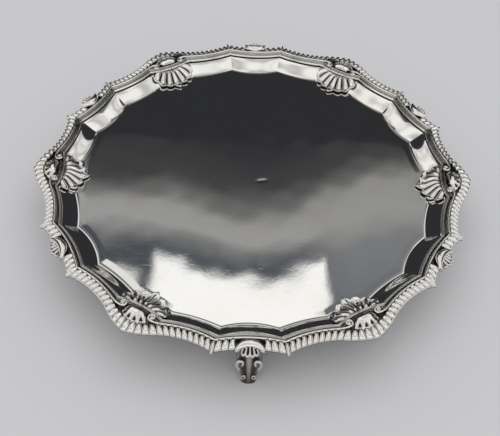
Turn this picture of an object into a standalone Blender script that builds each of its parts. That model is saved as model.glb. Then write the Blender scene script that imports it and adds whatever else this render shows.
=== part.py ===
"""Three-footed silver salver with a shell and gadroon border.

Run with blender --background --python part.py, or from the text editor. Metres, +Z up. The origin is
on the floor under the centre of the plate, and the front foot stands towards -Y.

The plan repeats six times. An ear points along 0, 60, 120 ... degrees and a lobe lies half-way between
two ears. Each ring of the plan is drawn from shallow arcs that meet in cusps: one arc across each lobe,
one along each side between lobe and ear, and a pair at the ear.
"""

import math
from collections import namedtuple

import bmesh
import bpy
from mathutils import Matrix, Vector

# ---------------------------------------------------------------- driving dimensions, in metres
OVERALL_DIAMETER = 0.305      # ear tip to ear tip, a 12 inch salver
PLATE_HEIGHT = 0.0343         # floor to the upper side of the plate
SHEET = 0.0010                # thickness of the raised sheet
GAP = 0.00035                 # clearance left between soldered pieces

SECTORS = 6
SECTOR = math.tau / SECTORS
FEET_AT = (270, 30, 150)      # degrees, each under a lobe

# The ear tip of the gadrooned edge lies this far out, as a share of the outer bead's radius at its cusps.
EAR_TIP = 1.089
UNIT = OVERALL_DIAMETER / 2 / EAR_TIP     # radius of the outer bead at its cusps

# ---------------------------------------------------------------- plan, in shares of UNIT and degrees
# tip: radius on the ear's axis. ear, lobe: radius and angle from the ear's axis of the cusps.
# ear_bow, side_bow, lobe_bow: how far the middle of each arc is drawn in towards the centre.
Ring = namedtuple("Ring", "tip ear lobe ear_bow side_bow lobe_bow")

FLAT_EDGE = Ring(0.790, (0.792, 7.0), (0.797, 21.8), 0.0, 0.001, 0.003)
PLATE_EDGE = Ring(0.862, (0.882, 7.0), (0.893, 21.76), 0.004, 0.009, 0.0235)
CAVETTO_TOP = Ring(0.930, (0.953, 7.0), (0.962, 21.68), 0.004, 0.0115, 0.0170)
BEAD_INNER = Ring(0.935, (0.958, 7.0), (0.967, 21.66), 0.004, 0.0115, 0.0168)
BEAD_OUTER = Ring(0.966, (0.998, 6.6), (1.000, 21.37), 0.006, 0.0166, 0.0167)
GADROON_INNER = Ring(1.042, (1.006, 6.4), (1.0065, 21.34), -0.007, 0.0166, 0.0167)
GADROON_OUTER = Ring(EAR_TIP, (1.036, 7.8), (1.049, 21.20), -0.0075, 0.0175, 0.0190)
RIM_EDGE = Ring(1.070, (1.024, 7.6), (1.037, 21.25), -0.0070, 0.0170, 0.0180)
GADROON_END = 2.56            # ring step at which a gadrooned length stops beside a rim shell

# ---------------------------------------------------------------- heights above the plate, in shares of UNIT
RIM_TOP = 0.040
BORDER_BASE = RIM_TOP + GAP / UNIT
VOLUTE_TOP = 0.073
PLATE_DISH = 0.0012           # how far the plate rises from its flat middle to the foot of the cavetto
OGEE = 0.85                   # 1 leaves the cavetto level at its foot and top, 0 makes it straight

# Reeded moulding: share of the way from BEAD_INNER to BEAD_OUTER, height.
MOULDING = ((0.00, 0.0500), (0.10, 0.0560), (0.24, 0.0520), (0.42, 0.0495),
            (0.62, 0.0550), (0.74, 0.0670), (0.88, 0.0690), (1.00, 0.0620))
# Gadroon: share of the way from GADROON_INNER to GADROON_OUTER, height on a lobe, height in a groove.
GADROON = ((0.00, 0.0580, 0.0540), (0.35, 0.0700, 0.0580), (1.00, 0.0500, 0.0470))
GADROONS_EAR = 9              # round an ear, one of them on its axis
GADROONS_SIDE = 9
GADROONS_LOBE = 3             # between a cusp and the rim shell
CUSP_HALF = 0.05              # half the length of the pointed gadroon on a cusp, in ring steps
CUSP_SPIKE = 1.25             # reach of that gadroon, in gadroon lengths
GROOVE_REACH = 0.86           # reach of a groove, in gadroon lengths

VOLUTE_CENTRE = (0.974, 4.45)
VOLUTE_RADIUS = 0.0215
VOLUTE_TAPER = 0.6

# Shells: fans of ribs. hinge: centre that the ribs fan out from, on the axis. spread: half angle in degrees.
# start, reach: the ribs' ends, from the hinge, on the axis; start_side, reach_side: the same for the
# outermost ribs. heights: over the rib from start to reach, on the axis. fall: how far the outermost ribs
# lie below those.
Fan = namedtuple("Fan", "hinge spread start start_side reach reach_side heights fall ribs flute")
EAR_SHELL = Fan(0.940, 42, 0.0310, 0.0400, 0.0960, 0.0800,
                (0.061, 0.080, 0.077, 0.064), 0.010, 5, 0.0050)
RIM_SHELL = Fan(0.960, 42, 0.0160, 0.0350, 0.0975, 0.0930,
                (0.067, 0.085, 0.081, 0.059), 0.012, 5, 0.0055)
SHELL_WALL = 0.016
SHELL_SCALLOP = 0.05          # how far the lip is drawn in at each flute, as a share of its radius

# Inner shell, laid on the tray: it reaches this many ring steps to each side of the ear's axis.
INNER_SHELL_STEPS = 1.12
INNER_SHELL_RIBS = 7
INNER_SHELL_ROWS = 7
INNER_SHELL_LIFT = 1.35 * GAP / UNIT
INNER_SHELL_WALL = 0.009
INNER_SHELL_FLUTE = 0.005
INNER_SHELL_LIP = 0.012       # how far the lip curls up
INNER_SHELL_UNDERCUT = 0.6    # how much of that curl the lip's underside follows
INNER_SHELL_TOP = 0.96        # share of the cavetto's width at which it starts, under the moulding
INNER_SHELL_REACH = -0.13     # share at which it ends, past the foot of the cavetto
INNER_SHELL_SIDE = 0.45       # how much less far it reaches at its sides
INNER_SHELL_TIP = 0.55        # how much further the pointed middle lobe reaches
INNER_SHELL_TIP_HALF = 0.25   # half the width of that lobe, as a share of the shell's half width

# Foot: centre line from the tray's underside down to the toe, under a lobe.
# Reach from the salver's axis, height, half depth, half width, tilt of the section in degrees.
FOOT = ((0.872, -0.0145, 0.030, 0.046, 12), (0.905, -0.045, 0.026, 0.056, -15),
        (0.942, -0.080, 0.021, 0.0595, -30), (0.962, -0.125, 0.016, 0.052, -18),
        (0.974, -0.170, 0.013, 0.042, -8), (0.986, -0.210, 0.014, 0.037, -6), (0.992, None, 0.017, 0.034, 0))
FOOT_SIDES = 12

SILVER = (0.90, 0.89, 0.86, 1.0)
DARK_SILVER = (0.72, 0.70, 0.66, 1.0)


# ---------------------------------------------------------------- helpers
def clear_scene():
    for obj in list(bpy.data.objects):
        bpy.data.objects.remove(obj, do_unlink=True)


def silver(name, colour, roughness):
    """A polished metal."""
    material = bpy.data.materials.new(name)
    material.use_nodes = True
    shader = material.node_tree.nodes["Principled BSDF"]
    shader.inputs["Base Color"].default_value = colour
    shader.inputs["Metallic"].default_value = 1.0
    shader.inputs["Roughness"].default_value = roughness
    return material


def polar(radius, degrees):
    angle = math.radians(degrees)
    return Vector((radius * math.cos(angle), radius * math.sin(angle)))


def steps(first, last, count):
    return [first + (last - first) * i / count for i in range(count + 1)]


def bowed(start, end, depth, t):
    """The point at t along a shallow arc from start to end whose middle is drawn in towards the centre."""
    inwards = Vector((-(end - start).y, (end - start).x)).normalized()
    if inwards.dot(start + end) > 0:
        inwards = -inwards
    return start.lerp(end, t) + inwards * depth * 4 * t * (1 - t)


def ring_point(ring, s):
    """A ring's plan point. s is 0 at the ear, 1 at its cusp, 2 at the lobe's cusp and 3 in mid-lobe.
    Below 0 the ring is mirrored on the ear's axis, and past 3 on the lobe's."""
    if s < 0:
        point = ring_point(ring, -s)
        return Vector((point.x, -point.y))
    if s > 3:
        point = ring_point(ring, 6 - s)
        return polar(point.length, math.degrees(SECTOR - math.atan2(point.y, point.x)))
    ear, lobe = polar(*ring.ear), polar(*ring.lobe)
    if s <= 1:
        return bowed(polar(ring.tip, 0), ear, ring.ear_bow, s)
    if s <= 2:
        return bowed(ear, lobe, ring.side_bow, s - 1)
    far_lobe = polar(ring.lobe[0], math.degrees(SECTOR) - ring.lobe[1])
    return bowed(lobe, far_lobe, ring.lobe_bow, (s - 2) / 2)


def between(inner, outer, s, share):
    return ring_point(inner, s).lerp(ring_point(outer, s), share)


def raised(plan, height):
    """A point in metres from a plan point and a height above the plate, both in shares of UNIT."""
    return Vector((plan.x * UNIT, plan.y * UNIT, PLATE_HEIGHT + height * UNIT))


def loft(name, sections):
    """A closed mesh through a row of closed sections, all with the same number of points."""
    mesh = bpy.data.meshes.new(name)
    bm = bmesh.new()
    rows = [[bm.verts.new(point) for point in section] for section in sections]
    size = len(rows[0])
    for row, following in zip(rows, rows[1:]):
        for i in range(size):
            j = (i + 1) % size
            bm.faces.new((row[i], row[j], following[j], following[i]))
    bm.faces.new(rows[0])
    bm.faces.new(rows[-1])
    finish_mesh(bm, mesh)
    return mesh


def finish_mesh(bm, mesh):
    bmesh.ops.recalc_face_normals(bm, faces=bm.faces)
    bm.to_mesh(mesh)
    bm.free()


def place(name, mesh, material, degrees=0.0):
    """An object on a mesh that its copies share, turned about the salver's axis."""
    if not mesh.materials:
        mesh.materials.append(material)
        mesh.shade_smooth()
        mesh.set_sharp_from_angle(angle=math.radians(35))
    obj = bpy.data.objects.new(name, mesh)
    bpy.context.collection.objects.link(obj)
    obj.rotation_euler.z = math.radians(degrees)
    return obj


def place_round(name, mesh, material, first_degrees=0.0):
    for k in range(SECTORS):
        place(f"{name}_{k + 1}", mesh, material, first_degrees + k * 360 / SECTORS)


# ---------------------------------------------------------------- tray: plate, cavetto and rim in one sheet
CAVETTO_SHARES = (0.2, 0.4, 0.6, 0.8, 1.0)


def tray_surface(s, share):
    """The tray's upper side: share runs -1 to 0 over the plate's outer part and 0 to 1 up the cavetto."""
    if share < 0:
        return between(PLATE_EDGE, FLAT_EDGE, s, -share), PLATE_DISH * (1 + share)
    ogee = share * share * (3 - 2 * share)
    rise = share + (ogee - share) * OGEE
    return between(PLATE_EDGE, CAVETTO_TOP, s, share), PLATE_DISH + (RIM_TOP - PLATE_DISH) * rise


def tray_stations():
    """Stations round one sector, ear to ear, without the last ear."""
    half = steps(0, 1, 2) + steps(1, 2, 4)[1:] + steps(2, 3, 2)[1:]
    return half + [6 - s for s in reversed(half[1:-1])]


def make_tray(material):
    mesh = bpy.data.meshes.new("tray_plate")
    bm = bmesh.new()
    loops = []
    for share in (-1.0, 0.0) + CAVETTO_SHARES + (None,):
        loop = []
        for sector in range(SECTORS):
            turn = Matrix.Rotation(sector * SECTOR, 3, "Z")
            for s in tray_stations():
                if share is None:
                    plan, height = ring_point(RIM_EDGE, s), RIM_TOP
                else:
                    plan, height = tray_surface(s, share)
                loop.append(bm.verts.new(turn @ raised(plan, height)))
        loops.append(loop)
    bm.faces.new(loops[0])
    for loop, outer_loop in zip(loops, loops[1:]):
        for i in range(len(loop)):
            j = (i + 1) % len(loop)
            bm.faces.new((loop[i], outer_loop[i], outer_loop[j], loop[j]))
    finish_mesh(bm, mesh)
    tray = place("tray_plate", mesh, material)
    wall = tray.modifiers.new("wall", "SOLIDIFY")
    wall.thickness = SHEET
    wall.offset = -1
    return tray


# ---------------------------------------------------------------- reeded moulding
def boss(degrees):
    """The round boss that a moulding's outer bead curls into."""
    mesh = bpy.data.meshes.new("boss")
    bm = bmesh.new()
    radius = VOLUTE_RADIUS * UNIT
    bmesh.ops.create_cone(bm, cap_ends=True, segments=12, radius1=radius, radius2=radius * VOLUTE_TAPER,
                          depth=(VOLUTE_TOP - BORDER_BASE) * UNIT)
    bm.to_mesh(mesh)
    bm.free()
    obj = bpy.data.objects.new("boss", mesh)
    bpy.context.collection.objects.link(obj)
    obj.location = raised(polar(VOLUTE_CENTRE[0], degrees), (VOLUTE_TOP + BORDER_BASE) / 2)
    return obj


def moulding_mesh():
    """One length, ear to ear, joined with a volute boss at each end."""
    end = GAP / 2 / (ring_point(BEAD_OUTER, 1).y * UNIT)
    half = [end] + steps(0, 1, 2)[1:] + steps(1, 2, 4)[1:] + steps(2, 3, 2)[1:]
    sections = []
    for s in half + [6 - s for s in reversed(half[:-1])]:
        top = [raised(between(BEAD_INNER, BEAD_OUTER, s, share), height) for share, height in MOULDING]
        base = [raised(between(BEAD_INNER, BEAD_OUTER, s, share), BORDER_BASE) for share in (1.0, 0.0)]
        sections.append(top + base)
    bar = place("bar", loft("bar", sections), None)
    bosses = [boss(VOLUTE_CENTRE[1]), boss(math.degrees(SECTOR) - VOLUTE_CENTRE[1])]
    for part in bosses:
        union = bar.modifiers.new("volute", "BOOLEAN")
        union.operation = "UNION"
        union.object = part
    bpy.context.view_layer.update()
    evaluated = bar.evaluated_get(bpy.context.evaluated_depsgraph_get())
    mesh = bpy.data.meshes.new_from_object(evaluated)
    mesh.name = "moulding"
    mesh.materials.clear()
    for part in [bar] + bosses:
        bpy.data.objects.remove(part, do_unlink=True)
    return mesh


# ---------------------------------------------------------------- gadrooned edge
def gadroon_stations():
    """Half a length, from the ear's axis to the rim shell: ring step, reach and whether it is on a lobe."""
    stations = []
    for i in range(GADROONS_EAR + 1):
        stations.append((i / GADROONS_EAR, 1.0 if i % 2 == 0 else GROOVE_REACH, i % 2 == 0))
    spans = ((1, 2 - CUSP_HALF, GADROONS_SIDE), (2 + CUSP_HALF, GADROON_END, GADROONS_LOBE))
    for first, last, count in spans:
        marks = steps(first, last, 2 * count)
        if first == 1:
            marks = marks[1:]
        for i, s in enumerate(marks):
            on_lobe = (i % 2 == 0) if first == 1 else (i % 2 == 1)
            stations.append((s, 1.0 if on_lobe else GROOVE_REACH, on_lobe))
        if first == 1:
            stations.append((2.0, CUSP_SPIKE, True))
    return stations


def gadroon_mesh():
    """One length, round an ear from rim shell to rim shell."""
    half = gadroon_stations()
    sections = []
    for s, reach, on_lobe in [(-s, reach, lobe) for s, reach, lobe in reversed(half[1:])] + half:
        section = []
        for share, lobe_height, groove_height in GADROON:
            plan = between(GADROON_INNER, GADROON_OUTER, s, share * reach)
            section.append(raised(plan, lobe_height if on_lobe else groove_height))
        for share in (reach, 0.0):
            section.append(raised(between(GADROON_INNER, GADROON_OUTER, s, share), BORDER_BASE))
        sections.append(section)
    return loft("gadroon_edge", sections)


# ---------------------------------------------------------------- shells
def rib_wave(u, ribs):
    """1 on a rib and -1 in the flute between two, for u from -1 to 1 across the shell."""
    return math.cos(math.pi * (u + 1) * (ribs - 1))


def fan_mesh(name, fan):
    """A hooded scallop on the border: ribs fan out from a hinge, and its lip stands over the edge."""
    sections = []
    for u in steps(-1, 1, 2 * (fan.ribs - 1)):
        way = polar(1.0, u * fan.spread)
        start = fan.start + (fan.start_side - fan.start) * u * u
        reach = fan.reach + (fan.reach_side - fan.reach) * u * u
        flute = fan.flute * (rib_wave(u, fan.ribs) - 1) / 2
        top, base = [], []
        for v, height in zip(steps(0, 1, len(fan.heights) - 1), fan.heights):
            lip = 1 + SHELL_SCALLOP * v * flute / fan.flute
            plan = Vector((fan.hinge, 0)) + way * (start + (reach - start) * v) * lip
            crest = height - fan.fall * u * u + flute * v
            top.append(raised(plan, crest))
            base.append(raised(plan, max(BORDER_BASE, crest - SHELL_WALL)))
        sections.append(top + base[::-1])
    return loft(name, sections)


def inner_shell_mesh():
    """The wide fan on the cavetto: it follows the tray's upper side a gap above it."""
    sections = []
    for u in steps(-1, 1, 2 * (INNER_SHELL_RIBS - 1)):
        pointed = max(0.0, 1 - abs(u) / INNER_SHELL_TIP_HALF)
        reach = INNER_SHELL_REACH + INNER_SHELL_SIDE * abs(u) ** 3 - INNER_SHELL_TIP * pointed
        flute = INNER_SHELL_FLUTE * (rib_wave(u, INNER_SHELL_RIBS) - 1) / 2
        top, base = [], []
        for v in steps(0, 1, INNER_SHELL_ROWS):
            share = INNER_SHELL_TOP + (reach - INNER_SHELL_TOP) * v
            plan, height = tray_surface(u * INNER_SHELL_STEPS, share)
            underside = height + INNER_SHELL_LIFT
            curl = INNER_SHELL_LIP if v == 1 else 0.0
            base.append(raised(plan, underside + curl * INNER_SHELL_UNDERCUT))
            top.append(raised(plan, underside + INNER_SHELL_WALL + flute * (1 + v) / 2 + curl))
        sections.append(top + base[::-1])
    return loft("inner_shell", sections)


# ---------------------------------------------------------------- feet
def foot_mesh():
    """A cast scroll foot: a broad knee under the edge that narrows to a small flat toe on the floor."""
    sections = []
    for reach, height, half_depth, half_width, tilt in FOOT:
        centre_height = -PLATE_HEIGHT / UNIT if height is None else height
        across = polar(half_depth, tilt)
        section = []
        for i in range(FOOT_SIDES):
            angle = math.tau * i / FOOT_SIDES
            plan = Vector((reach + across.x * math.cos(angle), half_width * math.sin(angle)))
            section.append(raised(plan, centre_height + across.y * math.cos(angle)))
        sections.append(section)
    return loft("foot", sections)


def main():
    clear_scene()
    polished = silver("polished_silver", SILVER, 0.12)
    cast = silver("cast_silver", DARK_SILVER, 0.25)
    make_tray(polished)
    place_round("moulding", moulding_mesh(), cast)
    place_round("gadroon_edge", gadroon_mesh(), cast)
    place_round("ear_shell", fan_mesh("ear_shell", EAR_SHELL), cast)
    place_round("inner_shell", inner_shell_mesh(), cast)
    place_round("rim_shell", fan_mesh("rim_shell", RIM_SHELL), cast, 30)
    mesh = foot_mesh()
    for number, degrees in enumerate(FEET_AT, start=1):
        place(f"foot_{number}", mesh, cast, degrees)


main()
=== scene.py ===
"""Looks of the three-footed silver salver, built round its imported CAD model.

Every piece stands for the CAD node of the same name. Plan shapes are given in shares of UNIT, the radius of
the outer bead at its cusps, and heights in shares of UNIT above the plate, as in the CAD source.
"""

import math
from collections import namedtuple

import bmesh
import bpy
import numpy as np
from mathutils import Matrix, Vector


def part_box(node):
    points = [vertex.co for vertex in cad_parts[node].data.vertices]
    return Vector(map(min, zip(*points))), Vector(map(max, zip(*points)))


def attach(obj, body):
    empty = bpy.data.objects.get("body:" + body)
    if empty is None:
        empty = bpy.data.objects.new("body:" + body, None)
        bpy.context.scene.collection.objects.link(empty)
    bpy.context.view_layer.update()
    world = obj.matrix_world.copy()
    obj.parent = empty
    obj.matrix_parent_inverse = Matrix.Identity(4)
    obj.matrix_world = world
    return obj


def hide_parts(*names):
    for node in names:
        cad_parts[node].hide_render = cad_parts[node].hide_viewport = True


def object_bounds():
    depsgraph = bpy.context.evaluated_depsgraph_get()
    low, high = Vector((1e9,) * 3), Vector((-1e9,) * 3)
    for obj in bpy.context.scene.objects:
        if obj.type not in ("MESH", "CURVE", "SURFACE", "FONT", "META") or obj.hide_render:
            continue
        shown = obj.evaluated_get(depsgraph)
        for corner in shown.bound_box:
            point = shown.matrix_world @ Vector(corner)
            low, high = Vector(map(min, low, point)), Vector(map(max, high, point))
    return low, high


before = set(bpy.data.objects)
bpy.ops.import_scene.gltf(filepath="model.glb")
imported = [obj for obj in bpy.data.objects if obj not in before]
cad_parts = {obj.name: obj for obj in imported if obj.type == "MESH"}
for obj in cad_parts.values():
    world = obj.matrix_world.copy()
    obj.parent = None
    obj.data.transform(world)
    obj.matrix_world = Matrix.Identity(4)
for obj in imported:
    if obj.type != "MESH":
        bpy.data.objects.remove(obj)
CAD_LOW, CAD_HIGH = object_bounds()

SHEET = 0.0010                # thickness of the tray
GAP = 0.00035                 # clearance left between soldered pieces
EAR_TIP = 1.089
UNIT = CAD_HIGH.x / EAR_TIP
PLATE_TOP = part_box("tray_plate")[0].z + SHEET
FLOOR = -PLATE_TOP / UNIT     # height of the floor, in shares of UNIT
SECTORS = 6
SECTOR = 360 / SECTORS        # degrees
EAR_TURNS = [k * SECTOR for k in range(SECTORS)]
LOBE_TURNS = [SECTOR / 2 + turn for turn in EAR_TURNS]
FOOT_TURNS = (270, 30, 150)

# ---------------------------------------------------------------- plan
# tip: radius on the ear's axis. ear, lobe: radius and angle from the ear's axis of the cusps.
# ear_bow, side_bow, lobe_bow: how far the middle of each arc is drawn in towards the centre.
Ring = namedtuple("Ring", "tip ear lobe ear_bow side_bow lobe_bow")

FLAT_EDGE = Ring(0.790, (0.792, 7.0), (0.797, 21.8), 0.0, 0.001, 0.003)
PLATE_EDGE = Ring(0.862, (0.882, 7.0), (0.893, 21.76), 0.004, 0.009, 0.0235)
CAVETTO_TOP = Ring(0.930, (0.953, 7.0), (0.962, 21.68), 0.004, 0.0115, 0.0170)
BEAD_INNER = Ring(0.935, (0.958, 7.0), (0.967, 21.66), 0.004, 0.0115, 0.0168)
BEAD_OUTER = Ring(0.966, (0.998, 6.6), (1.000, 21.37), 0.006, 0.0166, 0.0167)
GADROON_INNER = Ring(1.042, (1.006, 6.4), (1.0065, 21.34), -0.007, 0.0166, 0.0167)
GADROON_OUTER = Ring(EAR_TIP, (1.036, 7.8), (1.049, 21.20), -0.0075, 0.0175, 0.0190)
RIM_EDGE = Ring(1.070, (1.024, 7.6), (1.037, 21.25), -0.0070, 0.0170, 0.0180)

# ---------------------------------------------------------------- heights
RIM_TOP = 0.040
BORDER_BASE = RIM_TOP + GAP / UNIT
MOAT = 0.0015                 # how far the plate falls towards the foot of the cavetto
CAVETTO_OGEE = 0.18           # 1 leaves the cavetto level at its foot and top, 0 makes it straight
EDGE_LINE = 0.0011            # height of the fine raised line round the plate
EDGE_LINE_AT, EDGE_LINE_HALF = -0.07, 0.035    # in shares of the way from the plate's edge to its flat
# Painted shade and tarnish, darkest in the crease at the foot of the cavetto.
CREASE_SHADE_AND_TARNISH = 0.55         # most of it, in the crease at the foot of the cavetto
CREASE_AT = CREASE_HALF = 0.02

# Moulding reeds: middle and half width as shares of the moulding's width, foot and crest.
INNER_BEAD = (0.075, 0.075, 0.0500, 0.0575)
FINE_REED = (0.205, 0.024, 0.0495, 0.0525)
OUTER_REED = (0.665, 0.035, 0.0575, 0.0602)
COVE_LOW, COVE_HIGH = 0.0486, 0.0562
COVE_FROM, COVE_TO = 0.245, 0.625
COVE_REEDS = (0.305, 0.415, 0.525)
COVE_REED_HALF, COVE_REED_RISE = 0.024, 0.0026
OUTER_BEAD_AT = 0.86          # middle of the outer bead, as a share of the moulding's width
OUTER_BEAD_RADIUS = 0.0056
OUTER_BEAD_TOP = 0.0690
OUTER_BEAD_START = 1.14       # station where the bead's own line begins, past its cusp
LEAVING = (1.20, 1.12)        # stations that set the way it leaves for its volute
VOLUTE_TOP = 0.0730

VOLUTE_CENTRE = (0.974, 4.45)
VOLUTE_RADIUS = 0.0180        # of the outer bead's centre line, where it begins to curl
VOLUTE_EYE = 0.0075
VOLUTE_START = 10             # degrees, the side of the volute where the curl begins
VOLUTE_TURN = 400             # degrees
VOLUTE_POINTS = 44
VOLUTE_TAPER = 0.72           # the bead's thickness at the eye, as a share of its full thickness
VOLUTE_KNOB = 0.0085          # radius of the round eye

GADROONS_EAR = 9              # round an ear, from cusp to cusp
GADROONS_SIDE = 9             # from the ear's cusp to the lobe's
GADROONS_LOBE = 3             # from the lobe's cusp to the rim shell
GADROON_END = 2.62            # station where the gadroons stop beside the rim shell
CUSP_HALF = 0.05              # half the width of the gadroon on the lobe's cusp, in stations
CUSP_SPIKE = 1.25             # its reach, in gadroon lengths
GROOVE_REACH = 0.80           # reach of a gadroon's sides, in gadroon lengths
GADROON_NECK = 0.92           # width of a gadroon at its inner end, as a share of its full width
GADROON_LOW, GADROON_HIGH = 0.0490, 0.0725
GADROON_GROUND = 0.0455
GADROON_STEP = 0.002          # height of a gadroon's sides over the base of the border
GADROON_START = -0.08         # where a gadroon's inner end lies, in gadroon lengths
GADROON_CREST, GADROON_FALL = 0.24, 0.78       # where its crest is highest, and how far off that it ends


# ---------------------------------------------------------------- plan functions, on arrays
def smooth(x):
    x = np.clip(x, 0, 1)
    return x * x * (3 - 2 * x)


def polar(radius, degrees):
    angle = np.radians(degrees)
    return np.stack([radius * np.cos(angle), radius * np.sin(angle)], axis=-1)


def bowed(start, end, depth, t):
    """Points at t along a shallow arc whose middle is drawn in towards the centre."""
    along = end - start
    inwards = np.array([-along[1], along[0]]) / np.hypot(*along)
    if inwards @ (start + end) > 0:
        inwards = -inwards
    t = np.asarray(t)[..., None]
    return start + along * t + inwards * depth * 4 * t * (1 - t)


def ring_points(ring, s):
    """Plan points of a ring. s, the station, is 0 at the ear, 1 at its cusp, 2 at the lobe's cusp and 3 in
    mid-lobe. Below 0 the ring is mirrored on the ear's axis, and past 3 on the lobe's."""
    s = np.asarray(s, float)
    folded = np.abs(s)
    past = folded > 3
    t = np.where(past, 6 - folded, folded)
    tip, ear, lobe = polar(ring.tip, 0.0), polar(*ring.ear), polar(*ring.lobe)
    far_lobe = polar(ring.lobe[0], SECTOR - ring.lobe[1])
    ear_arc = bowed(tip, ear, ring.ear_bow, np.clip(t, 0, 1))
    side_arc = bowed(ear, lobe, ring.side_bow, np.clip(t - 1, 0, 1))
    lobe_arc = bowed(lobe, far_lobe, ring.lobe_bow, np.clip(t - 2, 0, 1) / 2)
    points = np.where((t > 1)[..., None], side_arc, ear_arc)
    points = np.where((t > 2)[..., None], lobe_arc, points)
    angle = np.degrees(np.arctan2(points[..., 1], points[..., 0]))
    points = polar(np.hypot(points[..., 0], points[..., 1]), np.where(past, SECTOR - angle, angle))
    points[..., 1] *= np.where(s < 0, -1, 1)
    return points


def between(inner, outer, s, share):
    a, b = ring_points(inner, s), ring_points(outer, s)
    return a + (b - a) * np.asarray(share, float)[..., None]


def raised(plan, height):
    """World points from plan points and heights, in shares of UNIT."""
    height = np.broadcast_to(height, plan.shape[:-1])
    return np.concatenate([plan * UNIT, (PLATE_TOP + height * UNIT)[..., None]], axis=-1)


def cavetto_height(share):
    share = np.asarray(share, float)
    rise = share + (smooth(share) - share) * CAVETTO_OGEE
    return np.where(share < 0, -MOAT * np.clip(2 * share + 1, 0, 1), -MOAT + (RIM_TOP + MOAT) * rise)


RING_STEPS = np.linspace(-3, 3, 241)


def radius_at(ring, plan):
    """A ring's radius in the direction of plan points that lie round the first ear."""
    points = ring_points(ring, RING_STEPS)
    angles = np.arctan2(points[:, 1], points[:, 0])
    return np.interp(np.arctan2(plan[..., 1], plan[..., 0]), angles, np.hypot(points[:, 0], points[:, 1]))


def tray_height(plan):
    """Height of the tray's upper side under plan points that lie round the first ear."""
    radius = np.hypot(plan[..., 0], plan[..., 1])
    flat, foot, top = (radius_at(ring, plan) for ring in (FLAT_EDGE, PLATE_EDGE, CAVETTO_TOP))
    share = np.where(radius < foot, (radius - foot) / (foot - flat), (radius - foot) / (top - foot))
    return cavetto_height(np.clip(share, -1, 1))


def turned(plan, degrees):
    """Plan points turned about the salver's axis."""
    cosine, sine = math.cos(math.radians(degrees)), math.sin(math.radians(degrees))
    return plan @ np.array([[cosine, -sine], [sine, cosine]]).T


def half_stations(ear, side, lobe):
    """Stations from the ear's axis to mid-lobe, with that many on each arc."""
    return np.concatenate([np.linspace(0, 1, ear)[:-1], np.linspace(1, 2, side)[:-1], np.linspace(2, 3, lobe)])


def past_lobe(half):
    """Stations up to mid-lobe, and on to the next ear."""
    return np.concatenate([half, 6 - half[-2::-1]])


# ---------------------------------------------------------------- mesh building
class Metal:
    """Closed bodies gathered into one mesh. Each point has a recess value: 0 where it's proud, and 1 where
    it's sunk or underneath. It darkens the silver: tarnish in hollows, and painted shade under pieces and in
    grooves."""

    def __init__(self):
        self.points, self.recess, self.faces, self.count = [], [], [], 0

    def add(self, points, recess):
        points = np.asarray(points, float)
        first = self.count
        self.points.append(points.reshape(-1, 3))
        self.recess.append(np.broadcast_to(recess, points.shape[:-1]).reshape(-1))
        self.count += self.points[-1].shape[0]
        return first + np.arange(self.count - first).reshape(points.shape[:-1])

    def quads(self, a, b, c, d):
        self.faces.extend(np.stack([a, b, c, d], axis=-1).reshape(-1, 4).tolist())

    def grid(self, index):
        self.quads(index[:-1, :-1], index[1:, :-1], index[1:, 1:], index[:-1, 1:])

    def sleeve(self, index):
        """Faces round a stack of closed rings."""
        self.quads(index[:-1], index[1:], np.roll(index[1:], -1, axis=1), np.roll(index[:-1], -1, axis=1))

    def loft(self, rings, recess):
        """A solid through a stack of closed rings, with a flat face at both ends."""
        index = self.add(rings, recess)
        self.sleeve(index)
        self.faces.extend([index[0].tolist(), index[-1].tolist()])

    def slab(self, top, base, recess):
        """A plate between two grids of the same shape."""
        # The base is fully darkened: painted shade under the piece.
        upper, lower = self.add(top, recess), self.add(base, 1.0)
        self.grid(upper)
        self.grid(lower[::-1])
        for edge in ((slice(None), 0), (slice(None), -1), (0, slice(None)), (-1, slice(None))):
            a, b = upper[edge], lower[edge]
            self.quads(a[:-1], a[1:], b[1:], b[:-1])

    def tube(self, path, radius, sides=12, up=(0, 0, 1), recess_below=0.0):
        """A round bar along a path, mitred at its corners."""
        path = np.asarray(path, float)
        radius = np.broadcast_to(radius, len(path))
        step = np.diff(path, axis=0)
        step /= np.linalg.norm(step, axis=1)[:, None]
        before, after = np.vstack([step[:1], step]), np.vstack([step, step[-1:]])
        along = before + after
        along /= np.linalg.norm(along, axis=1)[:, None]
        mitre = 1 / np.maximum(np.sum(along * after, axis=1), 0.7)
        across = np.cross(along, np.array(up, float))
        across /= np.linalg.norm(across, axis=1)[:, None]
        upright = np.cross(across, along)
        angle = np.linspace(0, math.tau, sides, endpoint=False)
        rings = (path[:, None]
                 + across[:, None] * (radius * mitre)[:, None, None] * np.cos(angle)[None, :, None]
                 + upright[:, None] * radius[:, None, None] * np.sin(angle)[None, :, None])
        # Darkens the bar's underside: painted shade beneath it, with tarnish.
        recess = np.broadcast_to(recess_below * np.clip(-np.sin(angle) + 0.2, 0, 1), rings.shape[:-1])
        self.loft(rings, recess)

    def piece(self, name, material, slot, degrees=0.0, smooth_angle=38):
        """The object, turned about the salver's axis. It stands for the CAD node of its name."""
        mesh = bpy.data.meshes.new(name)
        turn = Matrix.Rotation(math.radians(degrees), 3, "Z")
        points = np.vstack(self.points) @ np.array(turn).T
        mesh.from_pydata(points.tolist(), [], self.faces)
        attribute = mesh.attributes.new("recess", "FLOAT", "POINT")
        attribute.data.foreach_set("value", np.concatenate(self.recess).astype(np.float32))
        bm = bmesh.new()
        bm.from_mesh(mesh)
        bmesh.ops.recalc_face_normals(bm, faces=bm.faces)
        bm.to_mesh(mesh)
        bm.free()
        mesh.shade_smooth()
        mesh.set_sharp_from_angle(angle=math.radians(smooth_angle))
        mesh.materials.append(material)
        obj = bpy.data.objects.new(name + "_silver", mesh)
        bpy.context.scene.collection.objects.link(obj)
        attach(obj, "root")
        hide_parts(name)


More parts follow.
